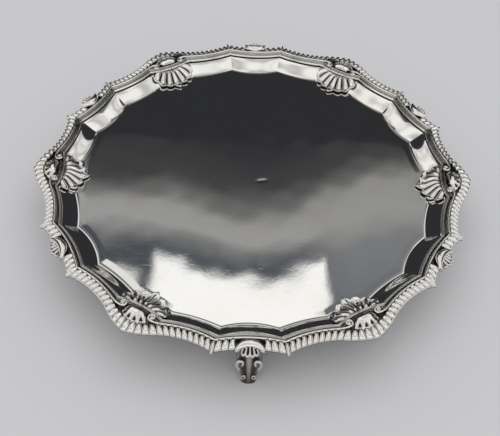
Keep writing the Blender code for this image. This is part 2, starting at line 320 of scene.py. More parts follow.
def place_round(name, metal, material, slot, turns=EAR_TURNS):
    for number, degrees in enumerate(turns, start=1):
        metal.piece(f"{name}_{number}", material, slot, degrees)


# ---------------------------------------------------------------- tray
WAVES = 26
WAVE_SLOPE = 0.0016           # slope of each of the low waves that raising and planishing leave
DENT_AT = (0.045, 0.010)      # a small dimple near the middle of the plate
DENT_SIZE = (0.024, 0.0125)
DENT_DEPTH = 0.0009
DENT_SLANT = 0.35
DENT_LEAN = 0.5               # how much steeper its front side is
# Rows across the flat of the plate, as shares of its radius: close round the dimple.
PLATE_STEPS = np.concatenate([np.linspace(0.006, 0.18, 34), np.linspace(0.20, 1.0, 48)])
# How dark the tray's plain underside is: painted shade under the tray.
UNDERSIDE_RECESS = 0.15


def hammered(x, y):
    """Low waves over the sheet, in metres for places in metres."""
    random = np.random.default_rng(11)
    height = np.zeros_like(x)
    for _ in range(WAVES):
        length = random.uniform(0.016, 0.085)
        angle, phase = random.uniform(0, math.tau, 2)
        wave = math.tau / length
        slope = WAVE_SLOPE * random.uniform(0.4, 1.0)
        height += slope / wave * np.sin(wave * (x * math.cos(angle) + y * math.sin(angle)) + phase)
    return height


def dent(plan):
    """A shallow dimple, with its steeper side towards the front."""
    u = (plan[..., 0] - DENT_AT[0]) / DENT_SIZE[0]
    v = (plan[..., 1] - DENT_AT[1]) / DENT_SIZE[1] - DENT_SLANT * u
    return -DENT_DEPTH * np.exp(-u * u - v * v - DENT_LEAN * v * np.abs(v) * np.exp(-v * v))


def tray_rows():
    """Rows of the tray's upper side round one ear, from the middle out: plan, height and recess."""
    s = sector_stations()
    rows = []
    for t in PLATE_STEPS:
        plan = ring_points(FLAT_EDGE, s) * t
        rows.append((plan, 0.0, 0.0))
    for share in np.linspace(-0.9, 0.0, 14)[:-1]:
        plan = between(PLATE_EDGE, FLAT_EDGE, s, -share)
        line = EDGE_LINE * np.exp(-((share - EDGE_LINE_AT) / EDGE_LINE_HALF) ** 2)
        rows.append((plan, cavetto_height(share) + line, 0.0))
    for share in np.linspace(0.0, 1.0, 24):
        plan = between(PLATE_EDGE, CAVETTO_TOP, s, share)
        # Painted shade and tarnish along the crease at the foot of the cavetto.
        recess = CREASE_SHADE_AND_TARNISH * math.exp(-((share - CREASE_AT) / CREASE_HALF) ** 2)
        rows.append((plan, cavetto_height(share), recess))
    for share in (0.08, 0.5, 1.0):
        # Under the moulding the tray is fully darkened: painted shade.
        rows.append((between(CAVETTO_TOP, RIM_EDGE, s, share), RIM_TOP, 1.0))
    return rows


def sector_stations():
    """Stations from mid-lobe to mid-lobe round an ear, without the last."""
    half = half_stations(14, 24, 15)
    return np.concatenate([-half[::-1], half[1:]])[:-1]


def make_tray(material):
    metal = Metal()
    tops, recesses = [], []
    for plan, height, recess in tray_rows():
        tops.append(np.vstack([raised(turned(plan, turn), height) for turn in EAR_TURNS]))
        recesses.append(recess)
    top = np.array(tops)
    top[..., 2] += hammered(top[..., 0], top[..., 1])
    top[..., 2] += dent(top[..., :2] / UNIT) * UNIT
    base = np.array([tops[0]] + tops[len(PLATE_STEPS) - 1:])      # the underside is plain and flat
    base[..., 2] -= SHEET
    upper = metal.add(top, np.array(recesses)[:, None])
    lower = metal.add(base, UNDERSIDE_RECESS)
    for rows, index in ((top, upper), (base, lower)):
        metal.sleeve(index)
        middle = metal.add(rows[0].mean(axis=0), 0.0)
        ring = index[0]
        metal.faces.extend(np.stack([ring, np.roll(ring, -1), np.full_like(ring, middle)], axis=1).tolist())
    metal.quads(upper[-1], np.roll(upper[-1], -1), np.roll(lower[-1], -1), lower[-1])
    metal.piece("tray_plate", material, "tray_silver", smooth_angle=15)


# ---------------------------------------------------------------- reeded moulding
def reed(middle, half, foot, crest, points=7):
    """Points over a half-round reed: share of the moulding's width, height, recess."""
    angle = np.linspace(0, math.pi, points)
    return [(middle - half * math.cos(a), foot + (crest - foot) * math.sin(a), 0.0) for a in angle]


def moulding_profile():
    """Across the moulding: share of its width, height, recess."""
    # A recess of 1 darkens the hollows between the reeds and the outer slope: tarnish and painted shade.
    profile = [(-0.004, 0.0470, 1.0)] + reed(*INNER_BEAD) + [(0.160, 0.0490, 0.9)] + reed(*FINE_REED, 5)
    for middle in COVE_REEDS:
        t = (middle - COVE_FROM) / (COVE_TO - COVE_FROM)
        foot = COVE_LOW + (COVE_HIGH - COVE_LOW) * (0.5 * t + 0.5 * t * t)
        line = reed(middle, COVE_REED_HALF, foot, foot + COVE_REED_RISE, 5)
        profile += [line[0][:2] + (1.0,)] + line[1:-1] + [line[-1][:2] + (1.0,)]
    profile += [(0.590, 0.0548, 1.0), (0.622, 0.0556, 1.0)]
    return profile + reed(*OUTER_REED, 5) + [(0.72, 0.0560, 1.0), (0.80, 0.0550, 1.0), (1.0, 0.0520, 1.0)]


def moulding_stations():
    """Stations from ear to ear, with half of the gap left at both ends."""
    half = half_stations(12, 22, 14)
    half[0] = GAP / 2 / (ring_points(BEAD_OUTER, 1.0)[1] * UNIT)
    return past_lobe(half)


def hermite(start, start_way, end, end_way, count):
    """A curve from start to end that leaves and arrives along the given ways."""
    t = np.linspace(0, 1, count)[:, None]
    return ((2 * t ** 3 - 3 * t ** 2 + 1) * start + (t ** 3 - 2 * t ** 2 + t) * start_way
            + (-2 * t ** 3 + 3 * t ** 2) * end + (t ** 3 - t ** 2) * end_way)


def volute_path():
    """Plan of the curl beside the first ear, from where the bead leaves the cusp to the curl's eye."""
    centre = polar(*VOLUTE_CENTRE)
    turn = np.linspace(0, 1, VOLUTE_POINTS)
    radius = VOLUTE_RADIUS + (VOLUTE_EYE - VOLUTE_RADIUS) * turn ** 0.8
    spiral = centre + polar(radius, VOLUTE_START - VOLUTE_TURN * turn)
    leave = between(BEAD_INNER, BEAD_OUTER, np.array(LEAVING), OUTER_BEAD_AT)
    reach = np.hypot(*(spiral[0] - leave[1]))
    way, spiral_way = (step / np.hypot(*step) * reach for step in (leave[1] - leave[0], spiral[1] - spiral[0]))
    bend = hermite(leave[1], way, spiral[0], spiral_way, 12)
    return np.vstack([bend, spiral[1:]])


def outer_bead():
    """Plan of the outer bead's centre line, eye to eye."""
    half = np.concatenate([np.linspace(OUTER_BEAD_START, 2, 20)[:-1], np.linspace(2, 3, 14)])
    middle = between(BEAD_INNER, BEAD_OUTER, past_lobe(half), OUTER_BEAD_AT)
    curl = volute_path()
    mirror = polar(np.hypot(curl[:, 0], curl[:, 1]), SECTOR - np.degrees(np.arctan2(curl[:, 1], curl[:, 0])))
    return np.vstack([curl[::-1], middle, mirror])


def moulding():
    metal = Metal()
    profile = np.array(moulding_profile())
    s, share = np.meshgrid(moulding_stations(), profile[:, 0], indexing="ij")
    plan = between(BEAD_INNER, BEAD_OUTER, s, share)
    top = raised(plan, np.broadcast_to(profile[:, 1], s.shape))
    metal.slab(top, raised(plan, BORDER_BASE), np.broadcast_to(profile[:, 2], s.shape))
    path = outer_bead()
    taper = np.ones(len(path))
    taper[:VOLUTE_POINTS] = np.linspace(VOLUTE_TAPER, 1, VOLUTE_POINTS)
    taper[-VOLUTE_POINTS:] = np.linspace(1, VOLUTE_TAPER, VOLUTE_POINTS)
    height = OUTER_BEAD_TOP - OUTER_BEAD_RADIUS
    metal.tube(raised(path, height), OUTER_BEAD_RADIUS * UNIT * taper, sides=14, recess_below=0.9)
    for degrees in (VOLUTE_CENTRE[1], SECTOR - VOLUTE_CENTRE[1]):
        knob(metal, polar(VOLUTE_CENTRE[0], degrees), VOLUTE_KNOB, BORDER_BASE, VOLUTE_TOP)
    return metal


def knob(metal, centre, radius, low, high):
    """A small upright dome with a blunt tip."""
    rise = np.sin(np.linspace(0, math.pi / 2, 9))
    path = raised(np.broadcast_to(centre, (len(rise), 2)), low + (high - low) * rise)
    metal.tube(path, radius * UNIT * np.sqrt(1.02 - rise ** 2), sides=16, up=(1, 0, 0))


# ---------------------------------------------------------------- gadroons
def gadroon_spans():
    """Each gadroon of one length: first and last station, reach in gadroon lengths."""
    spans = []
    for i in range(-GADROONS_EAR, GADROONS_EAR, 2):
        spans.append((i / GADROONS_EAR, (i + 2) / GADROONS_EAR, 1.0))
    edges = list(np.linspace(1, 2 - CUSP_HALF, GADROONS_SIDE + 1))
    side = [(a, b, 1.0) for a, b in zip(edges, edges[1:])] + [(2 - CUSP_HALF, 2 + CUSP_HALF, CUSP_SPIKE)]
    edges = list(np.linspace(2 + CUSP_HALF, GADROON_END, GADROONS_LOBE + 1))
    side += [(a, b, 1.0) for a, b in zip(edges, edges[1:])]
    return [(-b, -a, reach) for a, b, reach in reversed(side)] + spans + side


def gadroons():
    """Fat drops, round at the outer end and a little narrower at the inner one, on a strip of ground."""
    metal = Metal()
    steps = np.linspace(-GADROON_END, GADROON_END, 161)
    s, share = np.meshgrid(steps, [0.0, 0.4, GROOVE_REACH], indexing="ij")
    plan = between(GADROON_INNER, GADROON_OUTER, s, share)
    # The ground between the gadroons is fully darkened: tarnish and painted shade.
    metal.slab(raised(plan, GADROON_GROUND), raised(plan, BORDER_BASE), 1.0)
    v = (1 - np.cos(np.linspace(0, math.pi, 19)))[None] / 2
    turn = np.linspace(0, math.pi, 15)[:, None]
    swell = np.sin(turn)
    for first, last, reach in gadroon_spans():
        width = GADROON_NECK + (1 - GADROON_NECK) * smooth(v / 0.55)
        s = (first + last) / 2 - (last - first) / 2 * np.cos(turn) * width
        round_end = swell ** (0.9 if reach > 1 else 0.5)
        end = GROOVE_REACH + (reach - GROOVE_REACH) * round_end
        along = np.sqrt(np.clip(1 - ((v - GADROON_CREST) / GADROON_FALL) ** 2, 0, 1))
        crest = GADROON_LOW + (GADROON_HIGH - GADROON_LOW) * along
        height = BORDER_BASE + GADROON_STEP + (crest - BORDER_BASE - GADROON_STEP) * swell ** 0.7
        plan = between(GADROON_INNER, GADROON_OUTER, s, GADROON_START + (end - GADROON_START) * v)
        # Darker down each gadroon's sides towards the grooves: tarnish and painted shade.
        metal.slab(raised(plan, height), raised(plan, BORDER_BASE), np.clip(1.0 - 3.0 * swell, 0, 1))
    return metal


# ---------------------------------------------------------------- shells
def fan_grid(columns=97, rows=37):
    """u across a fan, from -1 to 1, and v along it, from 0 at its hinge to 1 at its lip."""
    return np.meshgrid(np.linspace(-1, 1, columns), np.linspace(0, 1, rows), indexing="ij")


EAR_SLOTS = (-0.66, -0.22, 0.22, 0.66)         # across the ear shell's fan
EAR_SPREAD = 49               # degrees, half of the fan


def ear_shell():
    """A smooth dome with narrow drop-shaped slots towards its scalloped lip."""
    metal = Metal()
    u, v = fan_grid()
    half = 0.040 + 0.055 * smooth((v - 0.55) / 0.25)
    slot = np.max([np.exp(-((u - place) / half) ** 2) for place in EAR_SLOTS], axis=0)
    pitch = (EAR_SLOTS[-1] - EAR_SLOTS[0]) / (len(EAR_SLOTS) - 1)
    lobes = np.abs(np.sin(math.pi * (u - EAR_SLOTS[0]) / pitch))
    start = 0.0290 + 0.0095 * u * u
    reach = (0.0975 - 0.0050 * u * u) * (0.955 + 0.045 * lobes ** 0.5)
    plan = np.array([0.940, 0.0]) + polar(start + (reach - start) * v, EAR_SPREAD * u)
    dome = np.interp(v, (0, 0.08, 0.20, 0.40, 0.60, 0.80, 0.93, 1),
                     (0.054, 0.0735, 0.0825, 0.0800, 0.0735, 0.0665, 0.0630, 0.0560))
    window = smooth((v - 0.56) / 0.12) * (1 - smooth((v - 0.82) / 0.08))
    height = dome - 0.008 * u ** 2 - 0.006 * u ** 6 - 0.0090 * slot * window
    # Dark in the slots: tarnish and painted shade.
    metal.slab(raised(plan, height), raised(plan, BORDER_BASE), np.clip(1.6 * slot * window, 0, 1))
    return metal


HOOD_CENTRE = 1.066           # of the arch that the hood follows, on the lobe's axis
HOOD_RADIUS = 0.0688
HOOD_SPREAD = 62              # degrees, half of the arch
HOOD_HALF, HOOD_POINT = 0.0215, 0.0028         # half the hood's width, at its middle and its ends
RIM_SHELL_SPREAD = 26.5       # degrees, half of the scallop under the hood


def rim_shell():
    """A smooth arched hood, pointed at both ends, over a narrower scallop of four flutes with a lobed lip."""
    metal = Metal()
    u, v = fan_grid()
    rib = np.abs(np.cos(math.tau * u)) ** 2.2
    reach = (0.0950 - 0.0060 * u * u) * (1 + 0.055 * (0.6 - rib))
    plan = np.array([0.960, 0.0]) + polar(0.030 + (reach - 0.030) * v, RIM_SHELL_SPREAD * u)
    hollow = np.interp(v, (0, 0.35, 0.82, 1), (0.066, 0.0590, 0.0510, 0.0490)) - 0.005 * u * u
    inside = 1 - smooth((v - 0.86) / 0.06)
    height = hollow + 0.0115 * rib * inside + 0.0105 * np.exp(-((v - 0.95) / 0.045) ** 2)
    # Dark in the flutes between the ribs: tarnish and painted shade.
    recess = np.clip(1.25 - 2.2 * rib, 0, 1) * inside
    metal.slab(raised(plan, height), raised(plan, BORDER_BASE), recess)

    along = np.linspace(-1, 1, 49)[:, None]
    turn = np.linspace(0, math.pi, 19)[None]
    half = HOOD_POINT + (HOOD_HALF - HOOD_POINT) * (1 - along ** 2) ** 0.9
    plan = np.array([HOOD_CENTRE, 0.0]) + polar(HOOD_RADIUS + half * np.cos(turn), 180 + HOOD_SPREAD * along)
    edge = 0.0610 - 0.0060 * np.cos(turn) - 0.0100 * along ** 2
    top = 0.0842 - 0.0180 * along ** 2
    metal.slab(raised(plan, edge + (top - edge) * np.sin(turn)), raised(plan, BORDER_BASE), 0.0)
    return metal


INNER_HINGE = 0.985           # where the inner shell's ribs would meet, on the ear's axis
INNER_SPREAD = 66             # degrees, half of the fan
INNER_RIBS = 7


def inner_shell():
    """A wide fan laid on the cavetto: bold ribs spread from under the moulding and join in a curling lip."""
    metal = Metal()
    u, v = fan_grid(169, 45)
    way = polar(1.0, 180 - INNER_SPREAD * u)
    sample = np.linspace(0.0, 0.2, 120)
    line = np.array([INNER_HINGE, 0.0]) + way[:, :1] * sample[None, :, None]
    inside = np.hypot(line[..., 0], line[..., 1]) < radius_at(BEAD_INNER, line) + 0.004
    start = sample[np.argmax(inside, axis=1)][:, None]
    groove = 1 - np.abs(np.cos(math.pi * INNER_RIBS * u / 2))
    tip = np.clip(1 - np.abs(u) * INNER_RIBS / 1.3, 0, 1)
    reach = (0.1500 - 0.016 * u ** 4 + 0.018 * tip) * (1 - 0.075 * groove)
    start = np.minimum(start, reach * 0.7)
    plan = np.array([INNER_HINGE, 0.0]) + way * (start + (reach - start) * v)[..., None]
    ground = tray_height(plan)
    cove = smooth((v - 0.06) / 0.22)
    joined = smooth((v - 0.78) / 0.16)
    curl = smooth((v - 0.80) / 0.20) * 0.010 * (1 - 0.6 * tip)
    crest = 0.0070 + 0.0140 * cove * np.sin(math.pi * np.clip(v * 0.85 + 0.10, 0, 1))
    height = ground + crest - 0.0165 * groove * cove * (1 - 0.7 * joined) + curl
    height = np.maximum(height, ground + 0.0040)
    # Dark in the grooves, and where the fan goes under the moulding: tarnish and painted shade.
    recess = np.clip(2.2 * groove - 0.7, 0, 1) * (1 - joined) * cove + 0.9 * (1 - smooth((v - 0.05) / 0.14))
    metal.slab(raised(plan, height), raised(plan, ground + GAP / UNIT + curl * 0.5), np.clip(recess, 0, 1))
    return metal


# ---------------------------------------------------------------- feet
# Sections down a foot: reach, height, half its depth, half its width, tilt in degrees.
FOOT = ((0.872, -0.0145, 0.030, 0.046, 12), (0.905, -0.045, 0.026, 0.054, -15),
        (0.942, -0.080, 0.020, 0.0560, -30), (0.962, -0.125, 0.015, 0.0540, -18),
        (0.974, -0.165, 0.012, 0.0440, -8), (0.986, -0.210, 0.013, 0.034, -6), (0.992, FLOOR, 0.016, 0.033, 0))
LEAF_RISE = 0.20              # of the leaf's ribs, as a share of the foot's depth
FOOT_SCROLL_STRETCH = 1.9     # scrolls are taller than wide
# Scrolls down each side of a foot's front: how far out, how far from its middle, height, radius, turn in
# degrees, and the radius of the bar.
FOOT_SCROLLS = ((0.973, 0.0350, -0.1350, 0.0235, 330, 0.0095),
                (0.994, 0.0205, -0.2120, 0.0120, 400, 0.0045))


def flow(rows, count):
    """A smooth curve through rows of numbers."""
    rows = np.array(rows, float)
    padded = np.vstack([2 * rows[0] - rows[1], rows, 2 * rows[-1] - rows[-2]])
    result = []
    for t in np.linspace(0, len(rows) - 1, count):
        i = min(int(t), len(rows) - 2)
        f = t - i
        a, b, c, d = padded[i:i + 4]
        result.append(0.5 * (2 * b + (c - a) * f + (2 * a - 5 * b + 4 * c - d) * f ** 2
                             + (3 * b - a - 3 * c + d) * f ** 3))
    return np.array(result)


def foot():
    """A cast scroll foot: a broad knee with a leaf down its front, and a scroll at each shoulder and toe."""
    metal = Metal()
    reach, level, depth, width, tilt = np.split(flow(FOOT, 60), 5, axis=1)
    angle = np.linspace(0, math.tau, 64, endpoint=False)[None]
    down = np.linspace(0, 1, len(reach))[:, None]
    leaf = LEAF_RISE * np.cos(6 * angle) * np.clip(np.cos(angle), 0, 1) * np.sin(math.pi * down)
    front = depth * (1 + leaf) * np.cos(angle)
    tilt = np.radians(tilt)
    plan = np.stack([reach + np.cos(tilt) * front, width * (1 + 0.4 * leaf) * np.sin(angle)], axis=-1)
    height = np.maximum(level + np.sin(tilt) * front, FLOOR)
    # Darkened all over but for the leaf's ribs: a painted shadow from the tray above, with tarnish.
    metal.loft(raised(plan, height), np.clip(0.95 - 2.4 * leaf, 0, 1))
    t = np.linspace(0, 1, 60)
    for side in (-1, 1):
        for out, aside, middle, size, turn, bar in FOOT_SCROLLS:
            radius = size * (1 - 0.80 * t ** 0.8)
            swirl = np.radians(turn * t - 80)
            plan = np.stack([out + 0.006 * t, side * (aside + radius * np.cos(swirl))], axis=-1)
            height = middle + FOOT_SCROLL_STRETCH * radius * np.sin(swirl)
            metal.tube(raised(plan, height), bar * UNIT * (1 - 0.4 * t), up=(1, 0, 0), recess_below=0.9)
    return metal


# ---------------------------------------------------------------- materials
# Dark colour that the recess value blends towards: tarnish in hollows, and painted shade under pieces, in
# grooves and on the feet.
TARNISH_AND_SHADE = (0.032, 0.027, 0.023)
SCRATCH_DEPTH = 0.0000007     # metres, where scratches is 1


def silver(name, colour, roughness, tarnish_and_shade, planish, scratches):
    """Polished silver, with low planishing marks, scratches and an uneven shine. Each point's recess value
    darkens it:
    tarnish in its hollows, and painted shade in grooves, under pieces and on the feet. planish is the height
    of the marks in metres; the darkening amount and scratches go from 0 to 1."""
    material = bpy.data.materials.new(name)
    material.use_nodes = True
    tree = material.node_tree
    nodes, links = tree.nodes, tree.links
    shader = nodes["Principled BSDF"]
    shader.inputs["Metallic"].default_value = 1.0
    place = nodes.new("ShaderNodeTexCoord").outputs["Object"]

    def noise(scale, detail=3.0, rough=0.5, vector=place):
        node = nodes.new("ShaderNodeTexNoise")
        node.inputs["Scale"].default_value = scale
        node.inputs["Detail"].default_value = detail
        node.inputs["Roughness"].default_value = rough
        links.new(vector, node.inputs["Vector"])
        return node.outputs["Fac"]

    def mapped(value, low, high, to_low, to_high):
        node = nodes.new("ShaderNodeMapRange")
        for key, number in (("From Min", low), ("From Max", high), ("To Min", to_low), ("To Max", to_high)):
            node.inputs[key].default_value = number
        links.new(value, node.inputs["Value"])
        return node.outputs["Result"]

    def maths(operation, a, b):
        node = nodes.new("ShaderNodeMath")
        node.operation = operation
        for socket, value in zip(node.inputs, (a, b)):
            if isinstance(value, (int, float)):
                socket.default_value = value
            else:
                links.new(value, socket)
        return node.outputs[0]

    def scratch(turn, scale):
        """Fine lines in one direction, in patches."""
        mapping = nodes.new("ShaderNodeMapping")
        mapping.inputs["Rotation"].default_value = (0, 0, math.radians(turn))
        mapping.inputs["Scale"].default_value = (0.035, 1.0, 0.2)
        links.new(place, mapping.inputs["Vector"])
        line = mapped(noise(scale, 2.0, 0.6, mapping.outputs["Vector"]), 0.63, 0.70, 0.0, 1.0)
        patch = mapped(noise(34 + turn, 1.0), 0.50, 0.62, 0.0, 1.0)
        return maths("MULTIPLY", line, patch)

    recess = nodes.new("ShaderNodeAttribute")
    recess.attribute_name = "recess"
    uneven = noise(420, 4.0, 0.6)
    # Painted shade and tarnish: the recess value, a little uneven, darkens the colour.
    painted_shade_and_tarnish = maths("MULTIPLY", recess.outputs["Fac"], mapped(uneven, 0.3, 0.7, tarnish_and_shade * 0.93, tarnish_and_shade))
    lines = maths("MAXIMUM", maths("MAXIMUM", scratch(12, 2600), scratch(71, 2300)), scratch(138, 2900))

    tone = nodes.new("ShaderNodeMix")
    tone.data_type = "RGBA"
    tone.inputs[6].default_value = (*colour, 1)
    tone.inputs[7].default_value = (colour[0] * 0.985, colour[1] * 0.97, colour[2] * 0.94, 1)
    links.new(mapped(noise(38, 4.0), 0.42, 0.68, 0.0, 1.0), tone.inputs[0])
    mixed = nodes.new("ShaderNodeMix")
    mixed.data_type = "RGBA"
    mixed.inputs[7].default_value = (*TARNISH_AND_SHADE, 1)
    links.new(painted_shade_and_tarnish, mixed.inputs[0])
    links.new(tone.outputs[2], mixed.inputs[6])
    links.new(mixed.outputs[2], shader.inputs["Base Color"])

    shine = maths("ADD", mapped(noise(55, 5.0, 0.65), 0.35, 0.7, roughness * 0.8, roughness * 1.35),
                  maths("MULTIPLY", recess.outputs["Fac"], 0.28 * tarnish_and_shade))
    shine = maths("ADD", shine, maths("MULTIPLY", lines, 0.12 * scratches))
    links.new(shine, shader.inputs["Roughness"])

    marks = nodes.new("ShaderNodeBump")
    marks.inputs["Strength"].default_value = 1.0
    marks.inputs["Distance"].default_value = planish
    links.new(noise(430, 2.5, 0.55), marks.inputs["Height"])
    cuts = nodes.new("ShaderNodeBump")
    cuts.invert = True
    cuts.inputs["Strength"].default_value = 1.0
    cuts.inputs["Distance"].default_value = SCRATCH_DEPTH * scratches
    links.new(lines, cuts.inputs["Height"])
    links.new(marks.outputs["Normal"], cuts.inputs["Normal"])
    links.new(cuts.outputs["Normal"], shader.inputs["Normal"])
    return material


# ---------------------------------------------------------------- stage, lights and camera
FLOOR_HALF = 12.0
FLOOR_DROP = 0.0002           # the floor lies this far under the feet


def make_floor():
    mesh = bpy.data.meshes.new("floor")
    half = FLOOR_HALF
    corners = [(-half, -half, 0), (half, -half, 0), (half, half, 0), (-half, half, 0)]
    mesh.from_pydata(corners, [], [(0, 1, 2, 3)])
    material = bpy.data.materials.new("floor_paper")
    material.use_nodes = True
    shader = material.node_tree.nodes["Principled BSDF"]
    shader.inputs["Base Color"].default_value = (0.62, 0.62, 0.63, 1)
    shader.inputs["Roughness"].default_value = 0.9
    shader.inputs["Specular IOR Level"].default_value = 0.1
    mesh.materials.append(material)
    floor = bpy.data.objects.new("floor", mesh)
    bpy.context.scene.collection.objects.link(floor)
    floor.location.z = CAD_LOW.z - FLOOR_DROP


AIM = Vector((0, 0, 0.03))    # what every light faces
WARM_WHITE = (1.0, 0.985, 0.96)


def softbox(name, centre, size, radiance, colour=WARM_WHITE, for_floor=False):
    """A rectangular light of an even radiance, which shows only in the silver or lights only the floor."""
    data = bpy.data.lights.new(name, "AREA")
    data.shape = "RECTANGLE"
    data.size, data.size_y = size
    data.energy = radiance * math.pi * size[0] * size[1]
    data.color = colour
    light = bpy.data.objects.new(name, data)
    bpy.context.scene.collection.objects.link(light)
    light.location = centre
    light.rotation_euler = (AIM - Vector(centre)).to_track_quat("-Z", "Y").to_euler()
    light.visible_camera = False
    light.visible_glossy = not for_floor
    light.visible_diffuse = for_floor


SCRIM_HEIGHT = 1.0            # over the plate
SCRIM_END = -0.65             # the sheet's front edge
SCRIM_FRONT, SCRIM_BACK = 0.45, 1.10   # its tones lie between these
WING_LEFT, WING_RIGHT = -0.44, 0.50    # past these the sheet is white; the plate doesn't mirror that far out
WING_END = 1.65
WING_BLEND, FRONT_BLEND = 0.10, 0.01
SCRIM_RIPPLE = 0.020          # how far the edges of its tones wander, in metres
# Brightness over the salver's middle and its right, by distance behind its centre in metres.
MIDDLE_TONES = ((0.45, (0.070, 0.078, 0.094)), (0.695, (0.070, 0.078, 0.094)), (0.73, (0.15, 0.155, 0.165)),
                (0.775, (0.34, 0.34, 0.34)), (0.825, (0.32, 0.32, 0.32)), (0.865, (0.16, 0.16, 0.16)),
                (0.93, (0.055, 0.055, 0.058)), (1.10, (0.031, 0.032, 0.037)))
RIGHT_TONES = ((0.45, (0.15, 0.16, 0.175)), (0.66, (0.20, 0.208, 0.22)), (0.71, (0.28, 0.28, 0.282)),
               (0.76, (0.31, 0.31, 0.31)), (0.84, (0.28, 0.28, 0.28)), (0.885, (0.14, 0.14, 0.14)),
               (0.94, (0.055, 0.055, 0.058)), (1.10, (0.031, 0.032, 0.037)))
MIDDLE_ENDS, RIGHT_STARTS = 0.08, 0.26
# How far the tones lie behind those distances, by place across the salver. It stands in for the unevenness of
# a real plate and its real surroundings; the modelled plate only has faint waves, a dimple and a low moat.
SAG = ((-0.22, 0.060), (0.033, 0.0), (0.35, 0.140))
SAG_HALF = 0.40
SAG_MOST = 0.16
# White patches on the grey: left, right, back, colour.
PATCHES = ((-0.35, -0.22, 0.63, (0.80, 0.80, 0.79)), (-0.192, 0.180, 0.672, (0.99, 0.985, 0.98)))
PATCH_EDGE = 0.012
CLOUDS = ((0.50, 0.495, 0.485), (0.92, 0.912, 0.895))    # darkest and lightest of the white


